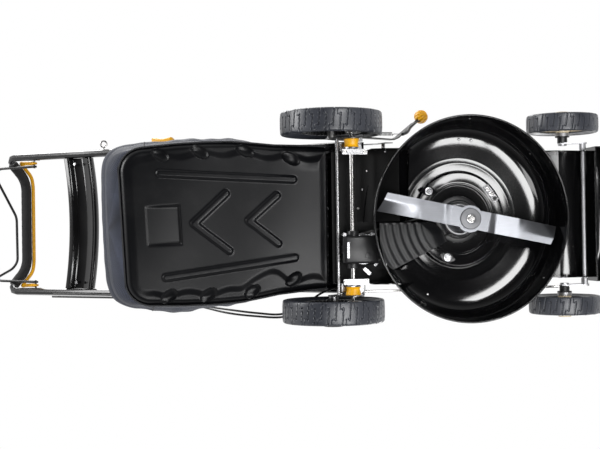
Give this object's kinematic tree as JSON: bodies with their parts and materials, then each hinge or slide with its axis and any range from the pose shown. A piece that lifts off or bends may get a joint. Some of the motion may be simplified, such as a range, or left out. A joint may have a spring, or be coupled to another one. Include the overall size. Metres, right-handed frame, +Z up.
{
  "type": "lawn mower",
  "caption": "Self-propelled petrol lawn mower with a pressed deck, rear grass bag, folding tube handle, blade, belt and geared rear wheel drive.",
  "frame": {"origin": "middle of the whole mower on the ground it stands on", "axes": "+X forward, +Y to the operator's left, +Z up"},
  "size_m": [1.6203, 0.5454, 1.049],
  "materials": {
    "deck_paint": "gloss black paint",
    "black_plastic": "fine moulded grain",
    "gloss_plastic": "gloss moulding",
    "tread_rubber": "matt rubber",
    "cream_plastic": "satin moulding",
    "yellow_plastic": "satin moulding",
    "zinc": "bright zinc plate",
    "bright_steel": "drawn bar",
    "blade_steel": "ground steel",
    "cast_aluminium": "as cast",
    "black_tube": "powder coat",
    "foam": "foam grip",
    "bag_cloth": "coated woven cloth",
    "belt_rubber": "matt rubber",
    "wire_black": "smooth plastic coat"
  },
  "bodies": {
    "chassis": {"deck_shell": "deck_paint", "front_bumper": "gloss_plastic", "rear_baffle": "black_plastic", "belt_guard": "black_plastic", "axle_bracket_left": "zinc", "axle_bracket_right": "zinc", "axle_bush_left": "yellow_plastic", "axle_bush_right": "yellow_plastic", "height_quadrant": "zinc", "drive_belt": "belt_rubber", "gearbox_housing": "black_plastic", "engine_block": "cast_aluminium", "engine_cover": "gloss_plastic", "recoil_housing": "black_plastic", "fuel_tank": "black_plastic", "air_filter": "black_plastic", "muffler": "cast_aluminium", "spark_plug_cap": "wire_black", "lower_handle_left": "black_tube", "lower_handle_right": "black_tube", "hinge_rod": "zinc", "drive_cable": "wire_black", "brake_cable": "wire_black"},
    "rear_carrier": {"rear_axle_carrier": "zinc", "height_lever": "wire_black", "lever_knob": "yellow_plastic"},
    "front_carrier": {"front_axle_carrier": "zinc"},
    "link": {"height_link": "bright_steel"},
    "rear_wheel_left": {"rear_tyre_left": "tread_rubber", "rear_rim_left": "black_plastic"},
    "rear_wheel_right": {"rear_tyre_right": "tread_rubber", "rear_rim_right": "black_plastic"},
    "front_wheel_left": {"front_tyre_left": "tread_rubber", "front_rim_left": "cream_plastic"},
    "front_wheel_right": {"front_tyre_right": "tread_rubber", "front_rim_right": "cream_plastic"},
    "pinion_left": {"drive_pinion_left": "zinc"},
    "pinion_right": {"drive_pinion_right": "zinc"},
    "shaft": {"drive_shaft": "bright_steel"},
    "crank": {"crankshaft": "cast_aluminium", "blade_adapter": "blade_steel", "blade": "blade_steel", "blade_bolt": "bright_steel"},
    "gearbox_input": {"gearbox_pulley": "zinc"},
    "oil_filler_cap": {"oil_cap": "black_plastic"},
    "starter": {"starter_grip": "black_plastic"},
    "tank_cap": {"fuel_cap": "black_plastic"},
    "handle_top": {"upper_handle": "black_tube", "rope_guide": "black_tube", "handle_grip": "foam", "console_panel": "gloss_plastic"},
    "presence_bail": {"opc_bail": "yellow_plastic"},
    "drive_lever": {"drive_bail": "wire_black"},
    "cam_left": {"cam_lever_left": "yellow_plastic"},
    "cam_right": {"cam_lever_right": "yellow_plastic"},
    "bag": {"bag_fabric": "bag_cloth", "bag_base": "black_plastic", "bag_lid": "black_plastic", "bag_mouth_frame": "black_plastic"},
    "flap": {"rear_flap": "black_plastic"}
  },
  "joints": [
    {"name": "cut_height", "type": "hinge", "parent": "chassis", "child": "rear_carrier", "pos_m": [0.1555, 0.00225, 0.115], "axis": [0, -1, 0], "range_deg": [0, 45]},
    {"name": "front_swing", "type": "hinge", "parent": "chassis", "child": "front_carrier", "pos_m": [0.7415, 0.00225, 0.077], "axis": [0, -1, 0], "range_deg": [0, 45]},
    {"name": "link_swing", "type": "hinge", "parent": "rear_carrier", "child": "link", "pos_m": [0.1893, 0.19275, 0.1875], "axis": [0, 1, 0], "range_deg": [0, 45]},
    {"name": "rear_left_spin", "type": "hinge", "parent": "rear_carrier", "child": "rear_wheel_left", "pos_m": [0.107, 0.23375, 0.127], "axis": [0, 1, 0], "continuous": true},
    {"name": "rear_right_spin", "type": "hinge", "parent": "rear_carrier", "child": "rear_wheel_right", "pos_m": [0.107, -0.22925, 0.127], "axis": [0, 1, 0], "continuous": true},
    {"name": "front_left_spin", "type": "hinge", "parent": "front_carrier", "child": "front_wheel_left", "pos_m": [0.693, 0.22925, 0.089], "axis": [0, 1, 0], "continuous": true},
    {"name": "front_right_spin", "type": "hinge", "parent": "front_carrier", "child": "front_wheel_right", "pos_m": [0.693, -0.22475, 0.089], "axis": [0, 1, 0], "continuous": true},
    {"name": "pinion_left_spin", "type": "hinge", "parent": "rear_carrier", "child": "pinion_left", "pos_m": [0.1555, 0.21055, 0.115], "axis": [0, 1, 0], "continuous": true},
    {"name": "pinion_right_spin", "type": "hinge", "parent": "rear_carrier", "child": "pinion_right", "pos_m": [0.1555, -0.20605, 0.115], "axis": [0, 1, 0], "continuous": true},
    {"name": "shaft_spin", "type": "hinge", "parent": "chassis", "child": "shaft", "pos_m": [0.1555, 0.00225, 0.115], "axis": [0, 1, 0], "continuous": true},
    {"name": "crank_spin", "type": "hinge", "parent": "chassis", "child": "crank", "pos_m": [0.4355, 0.01125, 0.042], "axis": [0, 0, 1], "continuous": true},
    {"name": "gearbox_input_spin", "type": "hinge", "parent": "chassis", "child": "gearbox_input", "pos_m": [0.1855, 0.08325, 0.139], "axis": [0, 0, 1], "continuous": true},
    {"name": "oil_cap_turn", "type": "hinge", "parent": "chassis", "child": "oil_filler_cap", "pos_m": [0.4655, -0.08675, 0.212], "axis": [0.1383, -0.4839, 0.8641], "range_deg": [0, 90]},
    {"name": "starter_pull", "type": "slide", "parent": "chassis", "child": "starter", "axis": [-0.8614, 0, 0.508], "range_m": [0, 0.45]},
    {"name": "fuel_cap_turn", "type": "hinge", "parent": "chassis", "child": "tank_cap", "pos_m": [0.3955, 0.14555, 0.308], "axis": [0, 0, 1], "range_deg": [0, 90]},
    {"name": "handle_fold", "type": "hinge", "parent": "chassis", "child": "handle_top", "pos_m": [-0.2695, 0.00225, 0.626], "axis": [0, 1, 0], "range_deg": [0, 150], "deforming": ["drive_cable", "brake_cable"]},
    {"name": "presence_bail_swing", "type": "hinge", "parent": "handle_top", "child": "presence_bail", "pos_m": [-0.68053, 0.00225, 0.93681], "axis": [0, 1, 0], "range_deg": [0, 40]},
    {"name": "drive_lever_swing", "type": "hinge", "parent": "handle_top", "child": "drive_lever", "pos_m": [-0.68053, 0.00225, 0.93681], "axis": [0, 1, 0], "range_deg": [-30, 2]},
    {"name": "cam_left_release", "type": "hinge", "parent": "handle_top", "child": "cam_left", "pos_m": [-0.2695, 0.23255, 0.626], "axis": [-0.5702, 0, -0.8215], "range_deg": [0, 100]},
    {"name": "cam_right_release", "type": "hinge", "parent": "handle_top", "child": "cam_right", "pos_m": [-0.2695, -0.22805, 0.626], "axis": [0.5702, 0, 0.8215], "range_deg": [0, 100]},
    {"name": "bag_lift", "type": "hinge", "parent": "chassis", "child": "bag", "pos_m": [0.1175, 0.00225, 0.318], "axis": [0, 1, 0], "range_deg": [0, 15.5]},
    {"name": "flap_lift", "type": "hinge", "parent": "bag", "child": "flap", "pos_m": [0.1175, 0.00225, 0.318], "axis": [0, 1, 0], "range_deg": [0, 60]}
  ],
  "couplings": [
    {"joint": "front_swing", "follows": "cut_height", "ratio": 1},
    {"joint": "link_swing", "follows": "cut_height", "ratio": 1},
    {"joint": "pinion_left_spin", "follows": "rear_left_spin", "ratio": 5},
    {"joint": "pinion_right_spin", "follows": "rear_right_spin", "ratio": 5},
    {"joint": "gearbox_input_spin", "follows": "crank_spin", "ratio": 0.7516}
  ]
}
